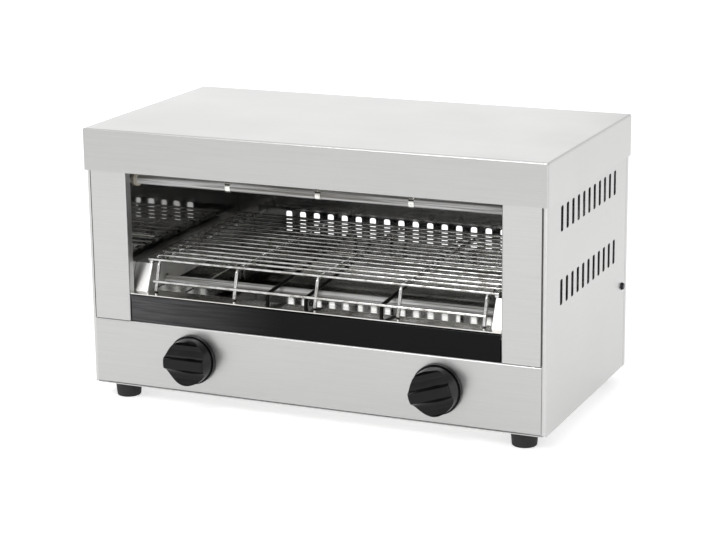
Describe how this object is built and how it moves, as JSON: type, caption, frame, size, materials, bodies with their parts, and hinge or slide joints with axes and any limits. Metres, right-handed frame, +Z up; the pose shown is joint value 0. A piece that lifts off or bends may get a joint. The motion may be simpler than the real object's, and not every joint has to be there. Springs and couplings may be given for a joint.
{
  "type": "salamander toaster",
  "caption": "Countertop salamander toaster: stainless casing with vents, open quartz-heated oven, sliding wire rack, crumb tray and black control knobs.",
  "frame": {"origin": "middle of the whole outline on the floor, under the feet", "axes": "+Z up, the open front faces -Y, +X to the right of someone who faces the front"},
  "size_m": [0.4514, 0.2624, 0.258],
  "materials": {
    "casing_steel": "fine brushed stainless sheet",
    "bracket_steel": "plain zinc-coated steel",
    "oven_steel": "polished stainless sheet",
    "reflector_sheet": "polished stainless sheet",
    "tray_steel": "dark polished steel",
    "rack_wire": "bright plated wire",
    "guard_wire": "steel wire darkened by heat",
    "clip_steel": "bright spring strip",
    "quartz": "milky quartz",
    "coil_wire": "wound resistance wire",
    "ceramic": "unglazed white ceramic",
    "terminal_steel": "nickel-plated studs and nuts",
    "rivet_alloy": "plain rivets",
    "knob_plastic": "glossy black moulded plastic",
    "spindle_steel": "turned steel",
    "control_plastic": "moulded black housing",
    "nut_brass": "plated brass",
    "terminal_plastic": "moulded pale housing",
    "grommet_rubber": "black rubber",
    "foot_rubber": "black rubber",
    "screw_steel": "zinc-coated steel",
    "dark_screw_steel": "blackened steel"
  },
  "bodies": {
    "casing": {"base_plate": "casing_steel", "bush_nuts": "nut_brass", "cable_grommet": "grommet_rubber", "control_panel": "casing_steel", "corner_bracket_left": "bracket_steel", "corner_bracket_right": "bracket_steel", "foot_front_left": "foot_rubber", "foot_front_right": "foot_rubber", "foot_nuts": "screw_steel", "foot_rear_left": "foot_rubber", "foot_rear_right": "foot_rubber", "foot_screws": "screw_steel", "front_frame": "casing_steel", "front_sill": "oven_steel", "guard_rods": "guard_wire", "heating_coils": "coil_wire", "hood": "casing_steel", "hood_screws": "screw_steel", "inner_wall_left": "oven_steel", "inner_wall_right": "oven_steel", "lower_tube_front": "quartz", "lower_tube_front_caps": "ceramic", "lower_tube_rear": "quartz", "lower_tube_rear_caps": "ceramic", "oven_floor": "oven_steel", "rear_panel": "casing_steel", "rear_screws": "screw_steel", "rear_sill": "oven_steel", "rivets": "rivet_alloy", "selector_switch": "control_plastic", "side_panel_left": "casing_steel", "side_panel_right": "casing_steel", "side_screws": "dark_screw_steel", "terminal_block": "terminal_plastic", "timer": "control_plastic", "tray_guide_left": "oven_steel", "tray_guide_right": "oven_steel", "tube_clips": "clip_steel", "tube_cover_left": "oven_steel", "tube_cover_right": "oven_steel", "tube_terminals": "terminal_steel", "upper_reflector": "reflector_sheet", "upper_tube_front": "quartz", "upper_tube_front_caps": "ceramic", "upper_tube_rear": "quartz", "upper_tube_rear_caps": "ceramic"},
    "rack": {"wire_rack": "rack_wire"},
    "tray": {"crumb_tray": "tray_steel"},
    "selector": {"selector_knob": "knob_plastic", "selector_spindle": "spindle_steel"},
    "minute_control": {"timer_knob": "knob_plastic", "timer_spindle": "spindle_steel"}
  },
  "joints": [
    {"name": "rack_slide", "type": "slide", "parent": "casing", "child": "rack", "axis": [0, -1, 0], "range_m": [0, 0.08]},
    {"name": "tray_slide", "type": "slide", "parent": "casing", "child": "tray", "axis": [0, -1, 0], "range_m": [0, 0.15]},
    {"name": "selector_turn", "type": "hinge", "parent": "casing", "child": "selector", "pos_m": [-0.118, -0.12, 0.0485], "axis": [0, 1, 0], "range_deg": [0, 270]},
    {"name": "timer_turn", "type": "hinge", "parent": "casing", "child": "minute_control", "pos_m": [0.124, -0.12, 0.0485], "axis": [0, 1, 0], "range_deg": [0, 300]}
  ]
}
